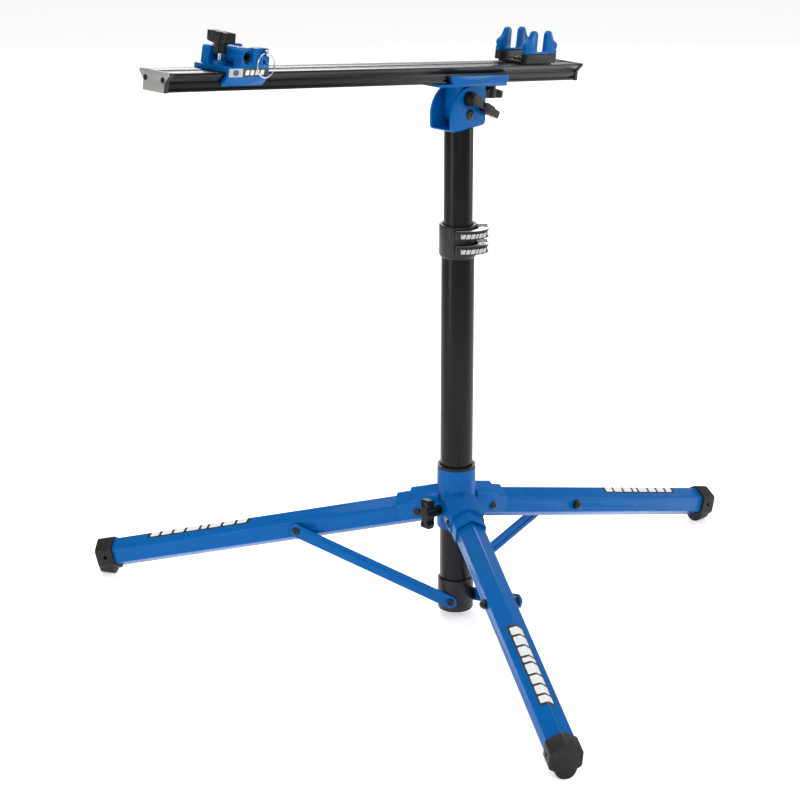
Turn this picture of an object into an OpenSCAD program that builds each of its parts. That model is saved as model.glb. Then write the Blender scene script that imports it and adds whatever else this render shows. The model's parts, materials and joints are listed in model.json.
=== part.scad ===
/* [Tripod] */
// Distance of each leg pivot from the mast axis
pivot_r = 55.85; // [55:0.05:57]
// Height of the leg pivots above the floor
pivot_z = 173.6; // [173:0.1:175]
// Downward slope of the opened legs
leg_slope = 14.74; // [14.5:0.01:15]
// Length of a leg tube from its pivot to its end
leg_len = 536.5; // [530:0.5:537]
// Distance across the flats of the hexagonal leg tube
leg_flats = 41.9; // [41:0.1:42]
// Wall thickness of the leg tube
leg_wall = 2; // [1.5:0.1:3]
// Distance along the leg from its pivot to the brace bolt
brace_at = 206.5; // [204:0.5:208]
// Distance of the brace from the middle plane of its leg
brace_n = 30; // [30:0.1:30.5]
// Height of the brace pivots on the bottom collar
brace_z = 28.8; // [28:0.1:30]

/* [Mast] */
// Outer radius of the lower mast tube
low_r = 25.4; // [25.3:0.01:25.42]
// Outer radius of the upper mast tube
up_r = 22.2; // [22.1:0.01:22.22]
// Top of the upper mast tube
up_top = 787; // [786:0.5:787]
// Radius of the quick-release collar
clamp_r = 29; // [28.5:0.1:29.2]

/* [Head and beam] */
// Tilt of the beam, clamp end up
beam_tilt = 7.86; // [7.5:0.01:7.9]
// Height of the beam's top face over the mast axis
beam_z = 882.7; // [882.6:0.1:883.5]
// Length of the beam from the mast to the clamp end
beam_l = 616; // [600:1:640]
// Length of the beam from the mast to the cradle end
beam_r = 260; // [240:1:280]
// Height of the tilt pivot
tilt_z = 809; // [809:0.1:809.3]
// Distance of the fork clamp block from the mast
block_x = -482; // [-500:1:-440]
// Distance of the frame cradle from the mast
cradle_x = 156.5; // [150:1:190]

/* [Hidden] */
$fn = 64;
e = 0.01;
AZ = [115.10, -4.90, -124.90];   // left, right and front leg
hx = leg_flats/2;                // half width of a leg
hr = leg_flats/2/cos(30);        // its corner radius
qa = -48.46;                     // direction the quick-release slit faces

// ---------- helpers ----------
// polygon with its corners rounded by arcs of r
function rp(p, r, n = 6) = [for (i = [0:len(p)-1])
  let(A = p[(i+len(p)-1)%len(p)], B = p[i], C = p[(i+1)%len(p)], ri = is_list(r) ? r[i] : r)
  each (ri <= 0 ? [B] : let(u = (A-B)/norm(A-B), v = (C-B)/norm(C-B), h = acos(max(-1, min(1, u*v)))/2,
    t = ri/tan(h), O = B+(u+v)/norm(u+v)*ri/sin(h), P = B+u*t, Q = B+v*t,
    a0 = atan2(P[1]-O[1], P[0]-O[0]), a1 = atan2(Q[1]-O[1], Q[0]-O[0]), d = ((a1-a0+540)%360)-180)
    [for (j = [0:n]) O+ri*[cos(a0+d*j/n), sin(a0+d*j/n)]])];
function arc(c, r, a, b, n = 12) = [for (i = [0:n]) c+r*[cos(a+(b-a)*i/n), sin(a+(b-a)*i/n)]];
function hexa(R) = [for (i = [0:5]) R*[cos(60*i), sin(60*i)]];
// extrude an x-z outline along y, from y0 to y1
module xz(y0, y1) translate([0, y1, 0]) rotate([90, 0, 0]) linear_extrude(y1-y0) children();
// extrude a (-z, y) outline along +x, from x0 to x1
module alongx(x0, x1) translate([x0, 0, 0]) rotate([0, 90, 0]) linear_extrude(x1-x0) children();
module ycyl(r, y0, y1) translate([0, y1, 0]) rotate([90, 0, 0]) cylinder(r = r, h = y1-y0);
module xcyl(r, x0, x1) translate([x0, 0, 0]) rotate([0, 90, 0]) cylinder(r = r, h = x1-x0);
module tube(ro, ri, z0, z1) difference() {
  translate([0, 0, z0]) cylinder(r = ro, h = z1-z0);
  translate([0, 0, z0-1]) cylinder(r = ri, h = z1-z0+2); }
module at_leg(k) rotate([0, 0, AZ[k]]) children();
module leg_frame(k) at_leg(k) translate([pivot_r, 0, pivot_z]) rotate([0, leg_slope, 0]) children();
module beam_frame() translate([0, 0, beam_z]) rotate([0, beam_tilt, 0]) children();
// the T handle: z = 0 at the foot of its stem, bar along x
module t_handle(stem, bar, hole = 3.1) difference() {
  union() {
    cylinder(r1 = 8.2, r2 = 8.8, h = stem+1);
    intersection() {
      xz(-9, 9) polygon(rp([[-23.5, stem+bar], [-23.5, stem+4], [-8.5, stem], [8.5, stem], [23.5, stem+4], [23.5, stem+bar]], [4, 3, 1.5, 1.5, 3, 4]));
      linear_extrude(stem+bar+2) polygon(rp([[-24, -8], [-16.5, -8], [-10.5, -5.6], [10.5, -5.6], [16.5, -8], [24, -8], [24, 8], [16.5, 8], [10.5, 5.6], [-10.5, 5.6], [-16.5, 8], [-24, 8]], [2.5, 2.5, 3, 3, 2.5, 2.5, 2.5, 2.5, 3, 3, 2.5, 2.5]));
    }
    translate([0, 0, stem]) cylinder(r = 8.8, h = bar);
  }
  translate([0, 0, -1]) cylinder(r = hole, h = stem+bar-4);
  for (s = [-1, 1]) translate([s*16.5, 0, stem+bar-1.6]) linear_extrude(3) polygon(rp([[-4.5, -4.5], [4.5, -4.5], [4.5, 4.5], [-4.5, 4.5]], 1.5));
}
module button_head(r, h, hex) difference() {   // domed head, z = 0 on its seat
  rotate_extrude() polygon([[0, 0], [r, 0], [r, h*0.35], each [for (a = [10:20:90]) [r*0.25+r*0.72*cos(a), h*0.35+h*0.65*sin(a)]], [0, h]]);
  translate([0, 0, h*0.4]) cylinder(r = hex, h = h, $fn = 6);
}

// ---------- hub ----------
function hood(w, sh, rd, lo) = [[-rd, 0], [-sh, w], [-lo, w], [-lo, -w], [-sh, -w]];
module hub_casting() color("royalblue") {
  difference() {
    union() {
      translate([0, 0, 150]) cylinder(r = 30.1, h = 97);
      for (k = [0:2]) {
        leg_frame(k) difference() {
          union() {
            alongx(-40, 9.2) polygon(rp(hood(26, 20.5, 34.5, -12), [6, 5, 1.5, 1.5, 5]));
            alongx(0, 34) polygon(rp(hood(23.9, 14.6, 29.3, -12), [5, 4.5, 1.5, 1.5, 4.5]));
            ycyl(7.6, -27.2, -23); ycyl(7.6, 23, 27.2);
          }
          alongx(-27, 60) polygon([[-26.3, 0], [-13.2, 21.5], [45, 21.5], [45, -21.5], [-13.2, -21.5]]);
          ycyl(4.3, -40, 40);
        }
      }
      at_leg(0) rotate([0, 0, 60]) translate([0, 0, 184]) xcyl(11, 20, 37);
    }
    translate([0, 0, 100]) cylinder(r = 27.3, h = 200);
    // keep the mast passage and the space below the arms clear
    for (k = [0:2]) at_leg(k) translate([30.1, -21.5, 100]) cube([40, 43, 50]);
    at_leg(0) rotate([0, 0, 60]) translate([0, 0, 184]) xcyl(4.3, 10, 60);
  }
  // sleeve wall behind each arm pocket
}
module hub_bushing() color("dimgray") difference() {
  union() { tube(27.25, low_r+0.08, 150, 247.05); tube(29.7, low_r+0.35, 247.05, 252); }
  at_leg(0) rotate([0, 0, 60]) translate([0, 0, 184]) xcyl(4.6, 10, 60);
}
module leg_pivot_bolts() color("dimgray") for (k = [0:2]) leg_frame(k) {
  difference() {
    union() {
      ycyl(4.0, -27.2, 27.2);
      translate([0, 27.2, 0]) rotate([-90, 0, 0]) button_head(6.2, 3, 2.2);
      translate([0, -27.2, 0]) rotate([90, 0, 0]) button_head(6.2, 3, 2.2);
    }
  }
}
module hub_knob() color("dimgray") at_leg(0) rotate([0, 0, 60]) translate([0, 0, 184])
  rotate([0, 90, 0]) translate([0, 0, 38]) t_handle(15, 17, 3.05);
module hub_knob_screw() color("silver") at_leg(0) rotate([0, 0, 60]) translate([0, 0, 184])
  { xcyl(3.0, low_r+0.4, 64); }

// ---------- legs ----------
module leg_tube(k) color("royalblue") leg_frame(k) difference() {
  alongx(-6, leg_len) polygon(rp(hexa(hr), 4.2, 5));
  alongx(-7, leg_len+1) polygon(rp(hexa(hr-leg_wall/cos(30)), 2.4, 4));
  ycyl(4.07, -30, 30);
  translate([brace_at, 0, 0]) ycyl(4.1, -30, 30);
  // the tube end is mitred on its lower side, to clear the hub as it folds
  translate([-6, -30, -30]) rotate([0, -30, 0]) translate([-12, 0, -10]) cube([12, 60, 26]);
}
module foot(k) color("dimgray") {
  difference() {
    union() {
      leg_frame(k) {
        alongx(leg_len-22, leg_len+1) polygon(rp(hexa(hr-leg_wall/cos(30)-0.1), 2.3, 4));
        difference() {
          alongx(leg_len+0.1, leg_len+29.5) polygon(rp(hexa(hr+4.0), 8, 6));
          translate([leg_len+36, 0, 4]) rotate([0, -14, 0]) translate([0, -40, -60]) cube([30, 80, 120]);
        }
      }
      // rounded pad under the foot
      at_leg(k) translate([pivot_r+(leg_len+1)*cos(leg_slope)+3.5, 0, 0]) alongx(0, 23)
        polygon([[-26, -19.5], [-26, 19.5], [-15, 17], [-9.5, 15], [-5, 12.2], [-2, 8.8], [-0.4, 5], [0, 3.2],
                 [0, -3.2], [-0.4, -5], [-2, -8.8], [-5, -12.2], [-9.5, -15], [-15, -17]]);
    }
    at_leg(k) translate([588, 0, 34]) { ycyl(3, 18, 40); ycyl(3, -40, -18); }
    leg_frame(k) alongx(leg_len-23, leg_len-4) circle(r = 14);
  }
}
module leg_stud(k) color("dimgray") leg_frame(k) translate([brace_at, 0, 0]) {
  difference() {
    union() {
      ycyl(4.05, -hx-6, brace_n-1.9);
      ycyl(7.6, hx+0.05, brace_n-1.9);
      // nut and its rounded cap
      translate([0, -hx-0.05, 0]) rotate([90, 0, 0]) { cylinder(r = 7.6, h = 5.4, $fn = 6);
        rotate_extrude() polygon([[0, 0], [5.8, 0], [5.8, 5.4], each [for (a = [0:15:90]) [5.6*cos(a), 5.6+4.4*sin(a)]], [0, 10]]); }
    }
  }
}
// ---------- braces ----------
bdx = pivot_r+brace_at*cos(leg_slope);
bdz = pivot_z-brace_at*sin(leg_slope)-brace_z;
brace_len = norm([bdx, bdz]);
brace_up = atan2(bdz, bdx);
module brace_frame(k) at_leg(k) translate([0, brace_n, brace_z]) rotate([0, -brace_up, 0]) children();
module brace(k) color("royalblue") brace_frame(k) difference() {
  union() {
    xz(-1.6, 1.6) polygon([each arc([0, 0], 10.3, 90, 270, 16), each arc([brace_len, 0], 10.3, -90, 90, 16)]);
    // pressed rib on the outside
    xz(1, 2.7) polygon([each arc([38, 0], 4.2, 90, 270, 10), each arc([brace_len-46, 0], 4.2, -90, 90, 10)]);
  }
  xz(-2, -0.4) polygon([each arc([38, 0], 2.6, 90, 270, 10), each arc([brace_len-46, 0], 2.6, -90, 90, 10)]);
  ycyl(4.06, -5, 5);
  translate([brace_len, 0, 0]) ycyl(4.06, -5, 5);
}
module brace_bolt(k) color("dimgray") brace_frame(k) translate([brace_len, 0, 0]) {
  ycyl(4.0, -1.5, 1.8);
  translate([0, 1.65, 0]) rotate([-90, 0, 0]) button_head(6.4, 3.2, 2.3);
}
// ---------- mast ----------
module lower_mast_tube() color("dimgray") tube(low_r, 23.7, 44.1, 626);
module bottom_collar() color("dimgray") difference() {
  union() {
    rotate_extrude() polygon([[0, 9.2], [24.5, 9.2], [26.8, 10.2], [27.9, 12.5], [27.9, 61.2], [26.9, 62.7], [low_r+0.05, 62.7], [low_r+0.05, 44], [0, 44]]);
    for (k = [0:2]) at_leg(k) translate([0, 0, brace_z]) ycyl(10.3, 10, brace_n-2);
  }
  translate([0, 0, 46]) cylinder(r = low_r+0.05, h = 30);
  translate([0, 0, 0]) cylinder(r = 13, h = 60);
  for (k = [0:2]) at_leg(k) translate([0, 0, brace_z]) ycyl(4.05, 8, 40);
}
module collar_bolts() color("dimgray") for (k = [0:2]) at_leg(k) translate([0, 0, brace_z]) {
  ycyl(4.0, 16, brace_n+2);
  translate([0, brace_n+1.95, 0]) rotate([-90, 0, 0]) button_head(6.4, 3.2, 2.3);
}
module quick_release_collar() color("dimgray") rotate([0, 0, qa]) difference() {
  union() {
    rotate_extrude() polygon([[low_r+0.05, 587.1], [26.3, 587.1], [clamp_r, 591.5], [clamp_r, 636.8], [clamp_r-1.2, 638.3], [up_r+1.8, 638.3], [up_r+0.4, 636.9], [up_r+0.4, 631], [low_r+0.05, 631]]);
    for (z = [604.5, 628.3]) translate([0, 0, z-6.8]) linear_extrude(z > 610 ? 13.6 : 13.6)
      polygon(rp([[20, -5.2], [42.5, -5.2], [45, -2], [45, 8], [42.5, 11], [30.5, 11], [20, 16]], [0, 1.5, 1.5, 2.5, 2.5, 0, 0]));
    // lever rests on the front of the collar
    for (z = [604.5, 628.3]) translate([0, 0, z]) for (a = [-97, -103]) rotate([0, 0, a]) translate([clamp_r+0.1, 0, -6]) cylinder(r = 1.5, h = 12, $fn = 24);
  }
  translate([0, 0, 580]) cylinder(r = low_r+0.05, h = 51);
  translate([0, 0, 630]) cylinder(r = up_r+0.4, h = 20);
  translate([15, 1.6, 580]) cube([40, 2.4, 70]);
  for (z = [604.5, 628.3]) translate([38, 0, z]) ycyl(3.1, -10, 20);
}
module clamp_draw_bolts() color("silver") rotate([0, 0, qa]) for (z = [604.5, 628.3]) translate([38, 0, z]) difference() {
  union() {
    ycyl(3.0, -12, 12.5);
    translate([0, -14, -2.9]) cylinder(r = 5.2, h = 5.8);
    translate([0, 11.05, 0]) rotate([-90, 0, 0]) cylinder(r = 6.2, h = 5, $fn = 6);
  }
  translate([0, -14, -10]) cylinder(r = 2.55, h = 20);
}
module cam_pins() color("silver") rotate([0, 0, qa]) for (z = [604.5, 628.3]) translate([38, -14, z-6.6]) cylinder(r = 2.5, h = 13.2);
module release_lever(z) color("dimgray") rotate([0, 0, qa]) translate([0, 0, z]) difference() {
  union() {
    translate([38, -14, -6.6]) cylinder(r = 8.2, h = 13.2);
    translate([0, 0, -6.6]) linear_extrude(13.2) polygon([[38, -14], [45.0, -18.1], [43.5, -22.5], [39, -27.3], [33, -31.6], [26, -35], [18, -37.4], [10, -38.4], [2, -38.2], [-3.6, -37.2],
             [-5, -35], [-4, -33.2], [2, -32.4], [10, -31.2], [17, -28.6], [23, -24.6], [28.2, -19.6], [30.6, -17.5]]);
  }
  // slot for the eye of the draw bolt
  translate([38-6.2, -14-6.2, -3.35]) cube([20, 20, 6.7]);
  translate([38, -14, -10]) cylinder(r = 2.57, h = 20);
}
module mast_bushing() color("dimgray") { tube(23.6, up_r+0.08, 560, 626.1); tube(25.35, up_r+0.3, 626.05, 629); }
module upper_tube_plug() color("dimgray") difference() {
  union() { translate([0, 0, 236]) cylinder(r = 23.62, h = 13.7); translate([0, 0, 249]) cylinder(r = 20.12, h = 22); }
  translate([0, 0, 230]) cylinder(r = 15, h = 60);
}
module upper_mast_tube() color("dimgray") tube(up_r, 20.2, 250, up_top);
// ---------- head ----------
lk = [-4, 834];                      // clamp bolt of the head
module yoke_side() polygon([each rp([[-42, 809], [-42, 787], [36, 787], [36, 846.4], [12, 849.75]], [0, 9, 9, 3, 0]),
  each arc([0, 809], 42, 90-beam_tilt, 180, 24)]);
module head_yoke() color("royalblue") difference() {
  union() {
    for (s = [-1, 1]) xz(s > 0 ? 17.5 : -21.5, s > 0 ? 21.5 : -17.5) yoke_side();
    translate([-33, -19.5, 787]) cube([60, 39, 4.2]);
    intersection() { xz(-21.5, 21.5) yoke_side(); translate([-42, 0, 0]) alongx(0, 78) polygon([[-787, 17.5], [-787, -17.5], [-791.2, -17.5], [-791.2, 17.5]]); }
    translate([0, 0, 752]) tube(20.15, 16, 0, 36);
    // fillet ring where the yoke is welded to the tube
  }
  translate([0, 0, tilt_z]) ycyl(5.05, -30, 30);
  translate([lk[0], 0, lk[1]]) ycyl(4.05, -30, 30);
  // round the lower long edges
  for (s = [-1, 1]) translate([-60, s*21.5, 787]) rotate([45, 0, 0]) translate([0, -1.6, -1.6]) cube([120, 3.2, 3.2]);
}
module tilt_pivot_bolt() color("dimgray") translate([0, 0, tilt_z]) {
  ycyl(5.0, -21.6, 21.6);
  translate([0, -21.55, 0]) rotate([90, 0, 0]) button_head(8.2, 2.2, 3);
  translate([0, 21.55, 0]) rotate([-90, 0, 0]) cylinder(r = 8.6, h = 5, $fn = 6);
}
module friction_washers() color("dimgray") translate([0, 0, tilt_z]) for (s = [-1, 1]) difference() {
  ycyl(13, s > 0 ? 16.85 : -17.45, s > 0 ? 17.45 : -16.85); ycyl(5.05, -30, 30); }
module head_lock_bolt() color("silver") translate([lk[0], 0, lk[1]]) {
  ycyl(4.0, -30, 21.6);
  translate([0, 21.55, 0]) rotate([-90, 0, 0]) cylinder(r = 7.4, h = 6, $fn = 6);
}
module head_lock_lever() color("dimgray") translate([lk[0], 0, lk[1]]) difference() {
  union() {
    translate([0, -21.85, 0]) rotate([90, 0, 0]) cylinder(r1 = 11.2, r2 = 10, h = 13.2);
    rotate([0, 31.5, 0]) xz(-38, -27) polygon([each arc([0, 0], 8.6, 90, 270, 14), each rp([[26, -7.2], [47, -7.2], [47, -5.6], [61, -5.9], [61, 5.9], [47, 5.6], [47, 7.2], [26, 7.2]], [3, 1, 0, 2, 2, 0, 1, 3])]);
  }
  ycyl(4.08, -31, -20);
  rotate([0, 31.5, 0]) translate([15, -40, -3]) cube([9, 4, 6]);
}
pvx = (beam_z-tilt_z)*sin(beam_tilt);        // tilt pivot in the beam's frame
pvz = -(beam_z-tilt_z)*cos(beam_tilt);
sb = pvz+42.5;                                // underside of the saddle
module beam_saddle() color("royalblue") beam_frame() difference() {
  union() {
    translate([-72, -25.5, sb]) cube([158, 51, -26.5-sb]);
    for (s = [-1, 1]) mirror([0, s > 0 ? 0 : 1, 0]) difference() {
      union() {
        xz(20.1, 25.5) polygon(rp([[-47, -14.1], [-38, sb], [79, sb], [89, sb+7], [89, -14.1]], [1, 0, 1.5, 1.5, 1]));
        xz(18.1, 20.5) polygon([[-40, -20.05], [-38, -22.15], [86, -22.15], [86, -20.05]]);
      }
    }
    // tang between the yoke's cheeks
    translate([pvx, 0, pvz]) xz(-16.5, 16.5) polygon([[-17.2, 43], [-17.2, 3], each arc([0, 0], 15.5, 172, 348, 14), [26, -6], [34, -1], [36.5, 12], [34, 43]]);
  }
  translate([pvx, 0, pvz]) { ycyl(8.05, -30, 30);
    // curved slot for the clamp bolt
    xz(-20, 20) polygon([each arc([0, 0], 21, -4+beam_tilt, 110+beam_tilt, 28), each arc([0, 0], 29.7, 110+beam_tilt, -4+beam_tilt, 28)]); }
  translate([78, 0, sb-5]) cylinder(r = 3.1, h = 12);
  translate([78, 0, -28.6]) cylinder(r = 9.3, h = 3);
}
module tilt_bushings() color("dimgray") translate([0, 0, tilt_z]) for (s = [0, 1]) mirror([0, s, 0]) difference() {
  ycyl(8.0, 0.3, 16.4); ycyl(5.06, -20, 20); }
module beam_pressure_pad() color("dimgray") beam_frame() difference() { translate([78, 0, -28.5]) cylinder(r = 9.1, h = 2.05); translate([78, 0, -29]) cylinder(r = 2, h = 1.2); }
module saddle_knob() color("dimgray") beam_frame() translate([78, 0, sb-0.4]) rotate([180, 0, 0]) t_handle(7, 14, 3.05);
module saddle_knob_screw() color("silver") beam_frame() translate([78, 0, sb-16]) cylinder(r = 3.0, h = 17.6);
// ---------- beam ----------
function beam_half() = [[28.1, 0], [28.1, -2.6], [20.9, -11.1], [18.9, -11.4], [18.9, -12.8], [19.6, -13.2], [19.6, -19.2], [17.4, -19.7], [17.4, -22.5], [19.6, -23.0], [19.6, -26.1]];
function mir(p) = [for (i = [len(p)-1:-1:0]) [-p[i][0], p[i][1]]];
function yz(p) = [for (q = p) [-q[1], q[0]]];
module beam_outline(g = 0) polygon(yz([[28.1+g, g], [28.1+g, -2.6], [19.6+g, -12.6-g*0.4], [19.6+g, -26.1-g], [-19.6-g, -26.1-g], [-19.6-g, -12.6-g*0.4], [-28.1-g, -2.6], [-28.1-g, g]]));
module beam_section() difference() {
  polygon(yz(concat(beam_half(), mir(beam_half()))));
  // slot along the top
  polygon(yz([[3.6, 1], [3.6, -2.4], [6.6, -2.4], [6.6, -8], [-6.6, -8], [-6.6, -2.4], [-3.6, -2.4], [-3.6, 1]]));
  for (s = [-1, 1]) {
    polygon(yz([[s*9, -2.6], [s*9, -10.2], [s*11.4, -10.2], [s*13.2, -6.3], [s*20.4, -6.3], [s*23.8, -2.6]]));
    translate([10, s*16.4]) circle(r = 1.8);
    polygon(yz([[s*1.2, -10.4], [s*1.2, -23.6], [s*15, -23.6], [s*15, -14.6], [s*8.6, -14.6], [s*8.6, -10.4]]));
  }
}
module beam_extrusion() color("dimgray") beam_frame() alongx(-beam_l, beam_r) beam_section();
module end_cap(x0, x1, xs) difference() {
  beam_frame() alongx(x0, x1) beam_outline(0.7);
  beam_frame() for (s = [-1, 1]) translate([0, s*16.4, -10]) { xcyl(1.9, x0-1, x1+1); xcyl(4.0, xs < 0 ? x0-1 : x1-2.2, xs < 0 ? x0+2.2 : x1+1); }
}
module left_end_cap() color("lightgray") end_cap(-beam_l-8, -beam_l-0.05, -1);
module right_end_cap() color("dimgray") end_cap(beam_r+0.05, beam_r+6, 1);
module end_cap_screws() color("dimgray") beam_frame() for (s = [-1, 1]) {
  translate([0, s*16.4, -10]) difference() { union() { xcyl(1.75, -beam_l-7, -beam_l+12); xcyl(3.8, -beam_l-7.9, -beam_l-5.9); } translate([-beam_l-9, 0, 0]) rotate([0, 90, 0]) cylinder(r = 1.9, h = 2.6, $fn = 6); }
  translate([0, s*16.4, -10]) difference() { union() { xcyl(1.75, beam_r-12, beam_r+5); xcyl(3.8, beam_r+3.9, beam_r+5.9); } translate([beam_r+4.4, 0, 0]) rotate([0, 90, 0]) cylinder(r = 1.9, h = 2.6, $fn = 6); }
}
// ---------- fork clamp block ----------
bx = block_x;
module lug_side() difference() {
  union() {
    polygon(rp([[bx-17, 6], [bx-9, 27], [bx-4, 32.6], [bx+3, 32.6], [bx+9, 24], [bx+3, 6]], [0, 6, 4, 3, 2, 0]));
    polygon(rp([[bx-2, 6], [bx-2, 13], [bx+12.2, 32], [bx+40.5, 32], [bx+40.5, 6]], [0, 0, 2, 6, 0]));
  }
}
module jaw_mouth() polygon([[bx+0.5, 20.5], [bx+4.6, 36], [bx+14, 36], [bx+5.5, 20]]);
module fork_clamp_block() color("royalblue") beam_frame() difference() {
  union() {
    // saddle over the beam
    alongx(bx-38, bx+41) polygon(yz([[32, 6.4], [32, -6.5], [21.1, -19.6], [20.2, -19.6], [20.2, -13.2], [28.7, -3.1], [28.7, 0.4],
      [-28.7, 0.4], [-28.7, -3.1], [-20.2, -13.2], [-20.2, -19.6], [-21.1, -19.6], [-32, -6.5], [-32, 6.4]]));
    xz(-31.5, -19.5) lug_side();
    xz(19.5, 31.5) lug_side();
    xz(17, 31.5) polygon(rp([[bx-27, 6], [bx-25.5, 30.5], [bx-15, 30.5], [bx-9, 20], [bx-4, 6]], [0, 4, 3, 0, 0]));
    translate([bx, 0, 19.5]) ycyl(13, -31.5, 31.5);
    translate([bx-7, -31, 6]) cube([14, 62, 8]);
    translate([bx-22.8, 0, 6]) cylinder(r = 8.4, h = 6.5);
  }
  translate([bx, 0, 19.5]) ycyl(9.6, -40, 40);
  // open mouth of the jaw: the barrel is a hook that closes on the axle
  xz(-40, 40) jaw_mouth();
  for (z = [13.5, 26]) translate([bx+31, 0, z]) ycyl(2.9, -40, 40);
  translate([bx-22.8, 0, -2]) cylinder(r = 3.1, h = 30);
}
module axle_liner() color("dimgray") beam_frame() translate([bx, 0, 19.5]) difference() {
  ycyl(9.55, -25, 25); ycyl(7.6, -32, 32); translate([-bx, 0, -19.5]) xz(-40, 40) jaw_mouth(); }
module block_knob() color("dimgray") beam_frame() translate([bx-22.8, 0, 22.6]) rotate([0, 0, 79]) t_handle(11.8, 17, 3.05);
module block_knob_screw() color("silver") beam_frame() translate([bx-22.8, 0, 0.35]) cylinder(r = 3.0, h = 44);
module lock_pin() color("silver") beam_frame() translate([bx+31, 0, 26]) difference() {
  union() { ycyl(2.85, -35, 33); ycyl(4.3, -38.6, -31.9); }
  translate([0, -35.4, 0]) xcyl(2.0, -10, 10);
}
module pull_ring() color("silver") beam_frame() translate([bx+31, -35.4, 26-16.6]) rotate([90, 0, 0]) rotate_extrude($fn = 96) translate([16.6, 0]) circle(r = 0.95, $fn = 24);
// ---------- cradle ----------
cx = cradle_x;
module cradle_base() color("dimgray") beam_frame() difference() {
  union() {
    translate([cx-37.5, -23.5, 0.4]) linear_extrude(4.8) polygon(rp([[0, 0], [75, 0], [75, 47], [0, 47]], 3));
    for (s = [-1, 1]) translate([cx, s*25.6, 3]) linear_extrude(13) polygon(rp([[-37.5, -5.4], [37.5, -5.4], [37.5, 5.4], [-37.5, 5.4]], 2.5));
  }
  for (s = [-1, 1]) translate([cx-26.1, s*25.6-2.6, 9]) cube([52.2, 5.2, 20]);
  translate([cx-18, 0, -2]) cylinder(r = 3.1, h = 20);
}
module cradle_forks() color("royalblue") beam_frame() for (s = [-1, 1]) translate([cx, s*25.9, 0]) {
  xz(-3.6, 3.6) polygon(concat(
    rp([[-37.4, 16.05], [37.4, 16.05], [38.6, 20], [36.4, 23.6], [38.4, 27], [38.2, 31.8], [27.5, 38.5], [22, 49.5], [16.8, 52], [11, 47], [10.3, 19.2], [-10.3, 19.2], [-11, 47], [-16.8, 52], [-22, 49.5], [-27.5, 38.5], [-38.2, 31.8], [-38.4, 27], [-36.4, 23.6], [-38.6, 20]],
       [0.8, 0.8, 1.6, 1.6, 1.6, 2, 7, 3, 2.5, 3, 3, 3, 3, 2.5, 3, 7, 2, 1.6, 1.6, 1.6])));
  translate([-26, s > 0 ? -2.8 : -2.2, 9.1]) cube([52, 5, 8]);
}
module cradle_screw() color("dimgray") beam_frame() translate([cx-18, 0, 0]) {
  translate([0, 0, -6.6]) cylinder(r = 2.9, h = 12.5);
  translate([0, 0, 5.2]) button_head(6.6, 4.4, 2.6);
}
module cradle_slot_nut() color("silver") beam_frame() difference() { translate([cx-25, -6, -7.2]) cube([14, 12, 4.2]); translate([cx-18, 0, -10]) cylinder(r = 2.95, h = 12); }

hub_casting();
hub_bushing();
leg_pivot_bolts();
hub_knob();
hub_knob_screw();
leg_tube(0);  // leg_tube_left
leg_tube(1);  // leg_tube_right
leg_tube(2);  // leg_tube_front
foot(0);  // foot_left
foot(1);  // foot_right
foot(2);  // foot_front
leg_stud(0);  // leg_stud_left
leg_stud(1);  // leg_stud_right
leg_stud(2);  // leg_stud_front
brace(0);  // brace_left
brace(1);  // brace_right
brace(2);  // brace_front
brace_bolt(0);  // brace_bolt_left
brace_bolt(1);  // brace_bolt_right
brace_bolt(2);  // brace_bolt_front
lower_mast_tube();
bottom_collar();
collar_bolts();
quick_release_collar();
clamp_draw_bolts();
cam_pins();
mast_bushing();
release_lever(628.3);  // upper_release_lever
release_lever(604.5);  // lower_release_lever
upper_tube_plug();
upper_mast_tube();
head_yoke();
tilt_pivot_bolt();
friction_washers();
head_lock_bolt();
head_lock_lever();
beam_saddle();
tilt_bushings();
beam_pressure_pad();
saddle_knob();
saddle_knob_screw();
beam_extrusion();
left_end_cap();
right_end_cap();
end_cap_screws();
fork_clamp_block();
axle_liner();
block_knob();
block_knob_screw();
lock_pin();
pull_ring();
cradle_base();
cradle_forks();
cradle_screw();
cradle_slot_nut();
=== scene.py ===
import json
import math
import bpy
import bmesh
from mathutils import Matrix, Vector


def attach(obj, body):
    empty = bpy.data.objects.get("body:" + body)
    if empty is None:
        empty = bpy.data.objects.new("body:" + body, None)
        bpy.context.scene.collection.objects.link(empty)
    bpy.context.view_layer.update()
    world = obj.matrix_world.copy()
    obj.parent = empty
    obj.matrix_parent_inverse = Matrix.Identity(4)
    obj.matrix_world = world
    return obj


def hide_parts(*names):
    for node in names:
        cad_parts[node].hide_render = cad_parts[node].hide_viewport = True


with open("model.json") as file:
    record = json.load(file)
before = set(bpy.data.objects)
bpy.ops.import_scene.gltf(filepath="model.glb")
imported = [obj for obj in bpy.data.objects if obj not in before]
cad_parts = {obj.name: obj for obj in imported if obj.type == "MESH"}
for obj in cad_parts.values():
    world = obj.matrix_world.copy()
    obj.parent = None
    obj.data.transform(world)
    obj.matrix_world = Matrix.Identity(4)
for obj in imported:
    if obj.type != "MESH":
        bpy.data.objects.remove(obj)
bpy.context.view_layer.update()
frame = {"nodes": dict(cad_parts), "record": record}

N = frame["nodes"]
REC = frame["record"]
BODY = {n: b for b, ns in REC["behaviour"]["bodies"].items() for n in ns}
SLOT = {s["node"]: s["material_slot"] for s in REC["subparts"]}
scene = bpy.context.scene


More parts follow.
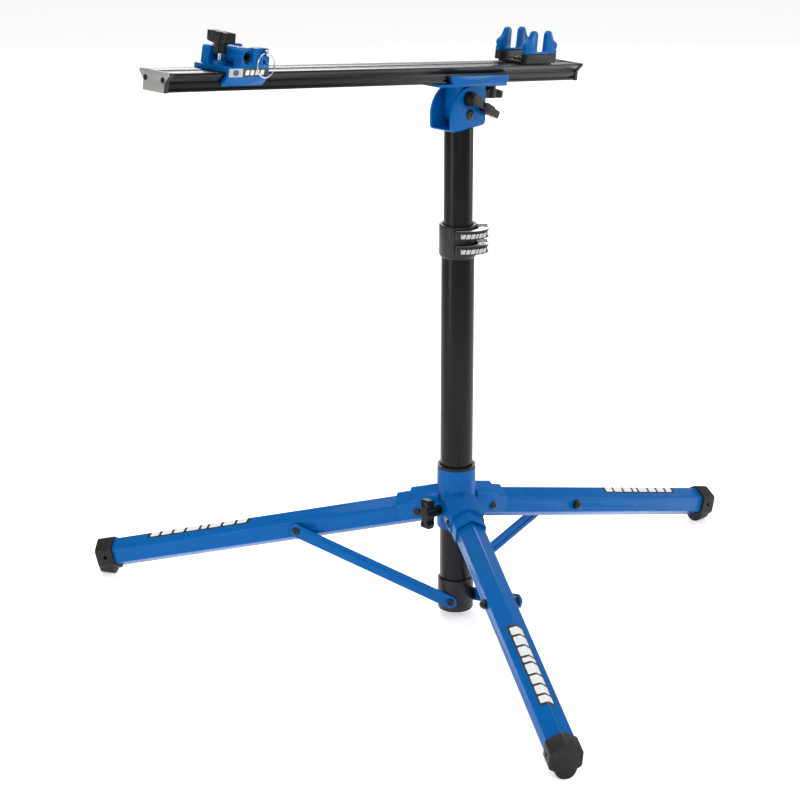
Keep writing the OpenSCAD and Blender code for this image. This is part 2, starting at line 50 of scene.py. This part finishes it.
# ------------------------------------------------------------------ materials
def mat(name, color, rough, metal=0.0, coat=0.0, coat_rough=0.1, spec=0.5,
        tone=0.12, tone_scale=9.0, grain=0.02, grain_scale=900.0, peel=0.0, peel_scale=260.0,
        rough_var=0.10, streak=None, dust=0.0, grime=0.0, relief=0.00003):
    """A procedural surface: large soft tone changes, fine grain, handling marks in the roughness and a small bump."""
    m = bpy.data.materials.new(name)
    m.use_nodes = True
    nt = m.node_tree
    nd, ln = nt.nodes, nt.links
    nd.clear()
    out = nd.new("ShaderNodeOutputMaterial")
    b = nd.new("ShaderNodeBsdfPrincipled")
    ln.new(b.outputs[0], out.inputs[0])
    b.inputs["Metallic"].default_value = metal
    b.inputs["Coat Weight"].default_value = coat
    b.inputs["Coat Roughness"].default_value = coat_rough
    b.inputs["Specular IOR Level"].default_value = spec
    tc = nd.new("ShaderNodeTexCoord")

    def noise(scale, detail=2.0, rough_=0.5, vec=None):
        n = nd.new("ShaderNodeTexNoise")
        n.inputs["Scale"].default_value = scale
        n.inputs["Detail"].default_value = detail
        n.inputs["Roughness"].default_value = rough_
        ln.new(vec if vec is not None else tc.outputs["Object"], n.inputs["Vector"])
        return n.outputs["Fac"]

    def ramp(src, p0, c0, p1, c1):
        r = nd.new("ShaderNodeValToRGB")
        r.color_ramp.elements[0].position = p0
        r.color_ramp.elements[0].color = c0
        r.color_ramp.elements[1].position = p1
        r.color_ramp.elements[1].color = c1
        ln.new(src, r.inputs[0])
        return r.outputs[0]

    def mixc(fac, a, c, kind="MIX", f=None):
        x = nd.new("ShaderNodeMix")
        x.data_type = "RGBA"
        x.blend_type = kind
        if f is not None:
            x.inputs[0].default_value = f
        else:
            ln.new(fac, x.inputs[0])
        for sock, val in ((x.inputs[6], a), (x.inputs[7], c)):
            if isinstance(val, tuple):
                sock.default_value = val
            else:
                ln.new(val, sock)
        return x.outputs[2]

    lo = tuple(max(0.0, c * (1 - tone)) for c in color) + (1.0,)
    hi = tuple(min(1.0, c * (1 + tone) + 0.004 * tone) for c in color) + (1.0,)
    base = ramp(noise(tone_scale, 3.0), 0.32, lo, 0.68, hi)
    vec = tc.outputs["Object"]
    if streak is not None:
        mp = nd.new("ShaderNodeMapping")
        mp.inputs["Rotation"].default_value = streak[1]
        mp.inputs["Scale"].default_value = streak[0]
        ln.new(tc.outputs["Object"], mp.inputs["Vector"])
        vec = mp.outputs[0]
    fine = noise(grain_scale, 2.0, 0.6, vec)
    g = ramp(fine, 0.35, (1 - grain * 6, 1 - grain * 6, 1 - grain * 6, 1), 0.65, (1, 1, 1, 1))
    base = mixc(None, base, g, "MULTIPLY", 1.0)
    marks = noise(34.0, 5.0, 0.62)
    if dust > 0:
        dm = ramp(marks, 0.55, (0, 0, 0, 1), 0.80, (dust, dust, dust, 1))
        base = mixc(dm, base, (0.42, 0.41, 0.39, 1.0))
    if grime > 0:
        gm = ramp(noise(17.0, 4.0, 0.6), 0.56, (0, 0, 0, 1), 0.78, (grime, grime, grime, 1))
        base = mixc(gm, base, (0.012, 0.012, 0.014, 1.0))
    ln.new(base, b.inputs["Base Color"])
    rr = ramp(marks, 0.30, (rough - rough_var * 0.5,) * 3 + (1,), 0.72, (rough + rough_var,) * 3 + (1,))
    ln.new(rr, b.inputs["Roughness"])
    height = fine
    dist = relief + grain * 0.0009
    bp = nd.new("ShaderNodeBump")
    bp.inputs["Strength"].default_value = 0.35
    bp.inputs["Distance"].default_value = dist
    ln.new(height, bp.inputs["Height"])
    last = bp.outputs[0]
    if peel > 0:
        bp2 = nd.new("ShaderNodeBump")
        bp2.inputs["Strength"].default_value = 0.5
        bp2.inputs["Distance"].default_value = peel
        ln.new(noise(peel_scale, 1.0), bp2.inputs["Height"])
        ln.new(last, bp2.inputs["Normal"])
        last = bp2.outputs[0]
    ln.new(last, b.inputs["Normal"])
    return m


M = {
    "blue_paint": mat("blue_paint", (0.0001, 0.100, 0.345), 0.24, coat=0.09, coat_rough=0.04, tone=0.04, grain=0.001,
                      grain_scale=1500, peel=0.000008, peel_scale=220, rough_var=0.05, spec=0.06, relief=0.000003),
    "black_anodised": mat("black_anodised", (0.0052, 0.0056, 0.0066), 0.28, metal=0.1, tone=0.10, grain=0.006,
                          grain_scale=420, rough_var=0.06, dust=0.003, spec=0.20, relief=0.000006),
    "black_cast": mat("black_cast", (0.0110, 0.0110, 0.0115), 0.38, metal=0.1, tone=0.14, grain=0.02, grain_scale=1500,
                      peel=0.00008, peel_scale=420, rough_var=0.10, dust=0.012, spec=0.34),
    "black_plastic": mat("black_plastic", (0.0055, 0.0055, 0.0056), 0.36, tone=0.12, grain=0.015, grain_scale=2200,
                         peel=0.00005, peel_scale=600, rough_var=0.12, dust=0.010, spec=0.24),
    "rubber": mat("rubber", (0.0085, 0.0085, 0.0088), 0.50, tone=0.18, grain=0.05, grain_scale=1700, peel=0.00015,
                  peel_scale=350, rough_var=0.12, dust=0.035, spec=0.28),
    "black_fastener": mat("black_fastener", (0.0120, 0.0115, 0.0115), 0.28, metal=0.4, tone=0.10, grain=0.02,
                          grain_scale=2400, rough_var=0.10),
    "bright_steel": mat("bright_steel", (0.55, 0.55, 0.55), 0.22, metal=1.0, tone=0.06, grain=0.02, grain_scale=1800,
                        rough_var=0.12),
    "cast_grey": mat("cast_grey", (0.30, 0.30, 0.29), 0.42, metal=0.25, tone=0.08, grain=0.03, grain_scale=1600,
                     peel=0.00008, peel_scale=500, rough_var=0.10),
}
M["beam_black"] = mat("beam_black", (0.0055, 0.0055, 0.0064), 0.24, metal=0.2, tone=0.06, grain=0.004, grain_scale=160,
                      rough_var=0.04, streak=((0.03, 6.0, 6.0), (0.0, math.radians(7.86), 0.0)), dust=0.003, spec=0.24,
                      relief=0.000004)
M["stripe_white"] = mat("stripe_white", (0.74, 0.75, 0.76), 0.32, coat=0.3, tone=0.03, grain=0.006, grain_scale=900)
M["stripe_black"] = mat("stripe_black", (0.008, 0.008, 0.009), 0.32, coat=0.3, tone=0.08, grain=0.01, grain_scale=900)
M["stripe_silver"] = mat("stripe_silver", (0.50, 0.49, 0.48), 0.34, metal=0.6, tone=0.05, grain=0.02, grain_scale=1100)
M["stripe_blue"] = mat("stripe_blue", (0.003, 0.080, 0.26), 0.30, coat=0.3, tone=0.05, grain=0.006, grain_scale=900)
M["worn_grey"] = mat("worn_grey", (0.16, 0.16, 0.16), 0.34, metal=0.5, tone=0.10, grain=0.03, grain_scale=1500)


# ------------------------------------------------------------------ mesh helpers
def finish_mesh(me, name, body, material, bevel=0.0006, segs=2, angle=32.0, nodes=(), smooth=38.0, second=None):
    ob = bpy.data.objects.new(name, me)
    scene.collection.objects.link(ob)
    me.materials.clear()
    me.materials.append(material)
    if bevel > 0:
        bv = ob.modifiers.new("edge", "BEVEL")
        bv.width = bevel
        bv.segments = segs
        bv.limit_method = "ANGLE"
        bv.angle_limit = math.radians(angle)
        bv.use_clamp_overlap = True
        bv.miter_outer = "MITER_ARC"
        bv.harden_normals = False
        dg = bpy.context.evaluated_depsgraph_get()
        done = bpy.data.meshes.new_from_object(ob.evaluated_get(dg))
        ob.modifiers.clear()
        ob.data = done
        me = done
    if second is not None:
        me.materials.append(second[0])
        for f in me.polygons:
            if second[1](f.center, f.normal):
                f.material_index = 1
    me.shade_smooth()
    me.set_sharp_from_angle(angle=math.radians(smooth))
    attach(ob, body)
    if nodes:
        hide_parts(*nodes)
    return ob


def dressed(node, bevel=0.0006, segs=2, material=None, smooth=38.0, angle=32.0, second=None):
    """The node's own shape with its flat faces joined up and its edges rounded, as painted or moulded edges are."""
    src = N[node].data.copy()
    bm = bmesh.new()
    bm.from_mesh(src)
    bmesh.ops.remove_doubles(bm, verts=bm.verts, dist=2e-6)
    bmesh.ops.dissolve_limit(bm, angle_limit=math.radians(0.6), use_dissolve_boundaries=False, verts=bm.verts, edges=bm.edges)
    bmesh.ops.recalc_face_normals(bm, faces=bm.faces)
    bm.to_mesh(src)
    bm.free()
    return finish_mesh(src, node + "_finish", BODY[node], material or M[SLOT[node]], bevel, segs, angle, (node,), smooth, second)


# ------------------------------------------------------------------ the pieces
EDGE = {
    "hub_casting": (0.0032, 4), "head_yoke": (0.0009, 3), "beam_saddle": (0.0008, 3), "fork_clamp_block": (0.0008, 3),
    "cradle_forks": (0.0012, 3), "cradle_base": (0.0008, 3), "quick_release_collar": (0.0006, 2),
    "upper_release_lever": (0.0012, 3), "lower_release_lever": (0.0012, 3), "head_lock_lever": (0.0010, 3),
    "hub_knob": (0.0012, 3), "saddle_knob": (0.0012, 3), "block_knob": (0.0012, 3), "bottom_collar": (0.0006, 2),
    "left_end_cap": (0.0007, 3), "right_end_cap": (0.0007, 3), "beam_extrusion": (0.0003, 2),
    "brace_left": (0.0006, 2), "brace_right": (0.0006, 2), "brace_front": (0.0006, 2),
    "foot_left": (0.0016, 3), "foot_right": (0.0016, 3), "foot_front": (0.0016, 3),
    "pull_ring": (0.0, 0), "leg_tube_left": (0.0004, 2), "leg_tube_right": (0.0004, 2), "leg_tube_front": (0.0004, 2),
}
LEG = {"left": 115.10, "right": -4.90, "front": -124.90}
BEAM = Matrix.Translation((0, 0, 0.8827)) @ Matrix.Rotation(math.radians(7.86), 4, "Y")
QA = Matrix.Rotation(math.radians(-48.46), 4, "Z")
LOCK = Matrix.Translation((-0.004, 0, 0.834)) @ Matrix.Rotation(math.radians(31.5), 4, "Y")


def leg_matrix(k):
    return (Matrix.Rotation(math.radians(LEG[k]), 4, "Z") @ Matrix.Translation((0.05585, 0, 0.1736))
            @ Matrix.Rotation(math.radians(14.74), 4, "Y"))


beam_x = BEAM.to_3x3() @ Vector((1, 0, 0))
lock_inv = LOCK.inverted()
qa_inv = QA.inverted()
SECOND = {
    "left_end_cap": (M["cast_grey"], lambda c, n: n.dot(beam_x) < -0.75 and (BEAM.inverted() @ c).x < -0.6225),
    "head_lock_lever": (M["worn_grey"], lambda c, n: (lock_inv @ c).x > 0.0468),
    "upper_release_lever": (M["stripe_silver"], lambda c, n: n.z > 0.8 and (qa_inv @ c).x > 0.024),
    "lower_release_lever": (M["stripe_silver"], lambda c, n: n.z > 0.8 and (qa_inv @ c).x > 0.024),
}
for n in sorted(N):
    w, s = EDGE.get(n, (0.0003, 2))
    m = {"beam_extrusion": M["beam_black"], "left_end_cap": M["black_cast"]}.get(n)
    dressed(n, w, s, m, second=SECOND.get(n))


# ------------------------------------------------------------------ printed films: plain bars, no lettering
def film(name, place, xl, xr, s0, s1, h0, h1, body, material, steps=24, along=1):
    """A thin closed film. place(x, s, h) gives a point: x along, s across, h above the surface it lies on."""
    bm = bmesh.new()
    rows = []
    for i in range(steps + 1):
        s = s0 + (s1 - s0) * i / steps
        a, b = xl(s), xr(s)
        xs = [a + (b - a) * j / along for j in range(along + 1)]
        rows.append(([bm.verts.new(place(x, s, h1)) for x in xs], [bm.verts.new(place(x, s, h0)) for x in xs]))
    for (t0, u0), (t1, u1) in zip(rows, rows[1:]):
        for j in range(along):
            bm.faces.new((t0[j], t0[j + 1], t1[j + 1], t1[j]))
            bm.faces.new((u0[j + 1], u0[j], u1[j], u1[j + 1]))
        bm.faces.new((u0[0], t0[0], t1[0], u1[0]))
        bm.faces.new((t0[-1], u0[-1], u1[-1], t1[-1]))
    for t, u, flip in ((rows[0][0], rows[0][1], False), (rows[-1][0], rows[-1][1], True)):
        for j in range(along):
            q = (u[j], u[j + 1], t[j + 1], t[j])
            bm.faces.new(q[::-1] if flip else q)
    bmesh.ops.recalc_face_normals(bm, faces=bm.faces)
    me = bpy.data.meshes.new(name)
    bm.to_mesh(me)
    bm.free()
    return finish_mesh(me, name, body, material, bevel=0.0)


def rounded(x0, sign, shear, mid, half, r):
    """The edge of a slanted bar with rounded corners, as a function of s."""
    def edge(s):
        over = max(0.0, abs(s - mid) - (half - r))
        return x0 + shear * (s - mid) + sign * (r - math.sqrt(max(0.0, r * r - over * over)))
    return edge


R_C, Z_C, HALF = 4.2, 19.34, 4.2 * math.radians(30)


def leg_place(k):
    mm = leg_matrix(k)

    def place(x, s, h):
        if abs(s) <= HALF:
            phi = math.pi / 2 - s / R_C
            y, z = (R_C + h) * math.cos(phi), Z_C + (R_C + h) * math.sin(phi)
        else:
            t, sg = abs(s) - HALF, (1 if s > 0 else -1)
            y = sg * (R_C * 0.5 + t * 0.8660254 + h * 0.5)
            z = Z_C + R_C * 0.8660254 - t * 0.5 + h * 0.8660254
        return mm @ Vector((x / 1000, y / 1000, z / 1000))
    return place


BARS = [17, 20, 20, 10, 22, 18, 18, 15]
for k in LEG:
    body = BODY["leg_tube_" + k]
    pl = leg_place(k)
    mid, half = -1.0, 12.4
    film("leg_band_" + k, pl, rounded(288, 1, 0.30, mid, half, 3.0), rounded(472, -1, 0.30, mid, half, 3.0),
         mid - half, mid + half, -0.05, 0.12, body, M["stripe_black"], 30, 12)
    x = 294.0
    for i, wd in enumerate(BARS):
        film("leg_bar_%s_%d" % (k, i), pl, rounded(x, 1, 0.30, mid, half - 2.6, 1.6), rounded(x + wd, -1, 0.30, mid, half - 2.6, 1.6),
             mid - half + 2.6, mid + half - 2.6, 0.06, 0.24, body, M["stripe_white"], 24, 2)
        x += wd + 4.6

# bars on the outer faces of the two release levers
LEVER = [(43.5, -22.5), (39, -27.3), (33, -31.6), (26, -35), (18, -37.4), (10, -38.4), (2, -38.2)]
lens = [0.0]
for a, b in zip(LEVER, LEVER[1:]):
    lens.append(lens[-1] + math.dist(a, b))


def lever_place(z0):
    def place(x, s, h):
        x = min(max(x, 0.01), lens[-1] - 0.01)
        i = max(j for j in range(len(LEVER) - 1) if lens[j] <= x)
        t = (x - lens[i]) / (lens[i + 1] - lens[i])
        a, b = Vector(LEVER[i]), Vector(LEVER[i + 1])
        d = (b - a).normalized()
        nrm = Vector((-d.y, d.x))
        if nrm.y > 0:
            nrm = -nrm
        q = a.lerp(b, t) + nrm * h
        return QA @ Vector((q.x / 1000, q.y / 1000, (z0 + s) / 1000))
    return place


for nm, z0 in (("upper", 628.3), ("lower", 604.5)):
    body = BODY[nm + "_release_lever"]
    pl = lever_place(z0)
    x = 3.0
    for i, wd in enumerate((5.5, 6.0, 4.0, 6.5, 6.0, 5.5)):
        film("release_bar_%s_%d" % (nm, i), pl, rounded(x, 1, -0.35, -1.2, 3.4, 0.8), rounded(x + wd, -1, -0.35, -1.2, 3.4, 0.8),
             -4.6, 2.2, -0.15, 0.22, body, M["stripe_silver"], 12, 4)
        x += wd + 1.3
    film("release_tick_" + nm, pl, rounded(43.2, 1, 0, -0.6, 3.6, 0.5), rounded(44.6, -1, 0, -0.6, 3.6, 0.5),
         -4.2, 3.0, -0.15, 0.2, body, M["stripe_silver"], 10, 1)


# plain plate on the near skirt of the fork clamp block
def skirt(x, s, h):
    return BEAM @ Vector((x / 1000, (-32.0 - h) / 1000, s / 1000))


fb_ = BODY["fork_clamp_block"]
film("block_plate_light", skirt, rounded(-517.5, 1, 0, -0.3, 5.7, 1.2), lambda s: -491.0, -6.0, 5.4, -0.1, 0.22, fb_, M["stripe_silver"], 16, 4)
film("block_plate_dark", skirt, lambda s: -490.8, rounded(-443.5, -1, 0, -0.3, 5.7, 1.2), -6.0, 5.4, -0.1, 0.22, fb_, M["stripe_black"], 16, 6)
film("block_plate_disc", skirt, lambda s: -504.3 - 1.35 * math.sqrt(max(0.0, 17.6 - (s + 0.3) ** 2)), lambda s: -504.3 + 1.35 * math.sqrt(max(0.0, 17.6 - (s + 0.3) ** 2)) + 0.01,
     -0.3 - 4.19, -0.3 + 4.19, 0.12, 0.34, fb_, M["stripe_blue"], 28, 4)
for i, (a, b) in enumerate(((-486, -479), (-476.5, -469.5), (-467, -460), (-457.5, -450.5))):
    film("block_plate_bar_%d" % i, skirt, rounded(a, 1, 0.2, -0.3, 3.4, 0.8), rounded(b, -1, 0.2, -0.3, 3.4, 0.8),
         -3.7, 3.1, 0.12, 0.34, fb_, M["stripe_white"], 12, 1)

# ------------------------------------------------------------------ camera, floor and light
cam = bpy.data.cameras.new("camera")
cam_ob = bpy.data.objects.new("camera", cam)
scene.collection.objects.link(cam_ob)
cam_ob.location = (-2.9927, -2.5338, 1.6857)
cam_ob.rotation_euler = (math.radians(71.26), 0.0, math.radians(-48.46))
cam.lens = 120.31
cam.sensor_width = 36.0
cam.clip_end = 60.0
scene.camera = cam_ob

fm = bpy.data.meshes.new("floor")
bm = bmesh.new()
bmesh.ops.create_grid(bm, x_segments=8, y_segments=8, size=14.0)
bm.to_mesh(fm)
bm.free()
floor = bpy.data.objects.new("floor", fm)
scene.collection.objects.link(floor)
floor.location = (0, 0, -0.0004)
fmat = bpy.data.materials.new("floor")
fmat.use_nodes = True
fb = fmat.node_tree.nodes["Principled BSDF"]
fb.inputs["Base Color"].default_value = (0.90, 0.90, 0.90, 1)
fb.inputs["Roughness"].default_value = 0.75
fb.inputs["Specular IOR Level"].default_value = 0.2
fb.inputs["Emission Color"].default_value = (1, 1, 1, 1)
fb.inputs["Emission Strength"].default_value = 0.50
fm.materials.append(fmat)

world = bpy.data.worlds.new("studio")
scene.world = world
world.use_nodes = True
wn = world.node_tree
bg = wn.nodes["Background"]
bg.inputs["Color"].default_value = (1.0, 1.0, 1.0, 1)
bg.inputs["Strength"].default_value = 0.42


def area(name, loc, aim, size, power, color=(1, 1, 1)):
    ld = bpy.data.lights.new(name, "AREA")
    ld.shape = "RECTANGLE"
    ld.size, ld.size_y = size
    ld.energy = power
    ld.color = color
    lo = bpy.data.objects.new(name, ld)
    scene.collection.objects.link(lo)
    lo.location = loc
    d = Vector(aim) - Vector(loc)
    lo.rotation_euler = d.to_track_quat("-Z", "Y").to_euler()
    return lo


area("key", (-2.4, -3.0, 3.0), (0, 0, 0.45), (1.3, 1.3), 58)
area("side_right", (2.7, -1.9, 1.5), (0, 0, 0.5), (0.5, 2.4), 30)
area("side_left", (-3.1, 0.7, 1.3), (0, 0, 0.5), (0.5, 2.4), 26)
area("top", (0.3, 0.6, 3.6), (0, 0, 0.4), (2.4, 2.4), 55)
area("back", (2.7, 2.5, 2.3), (0, 0, 0.8), (3.2, 1.5), 75)

scene.view_settings.view_transform = "Standard"
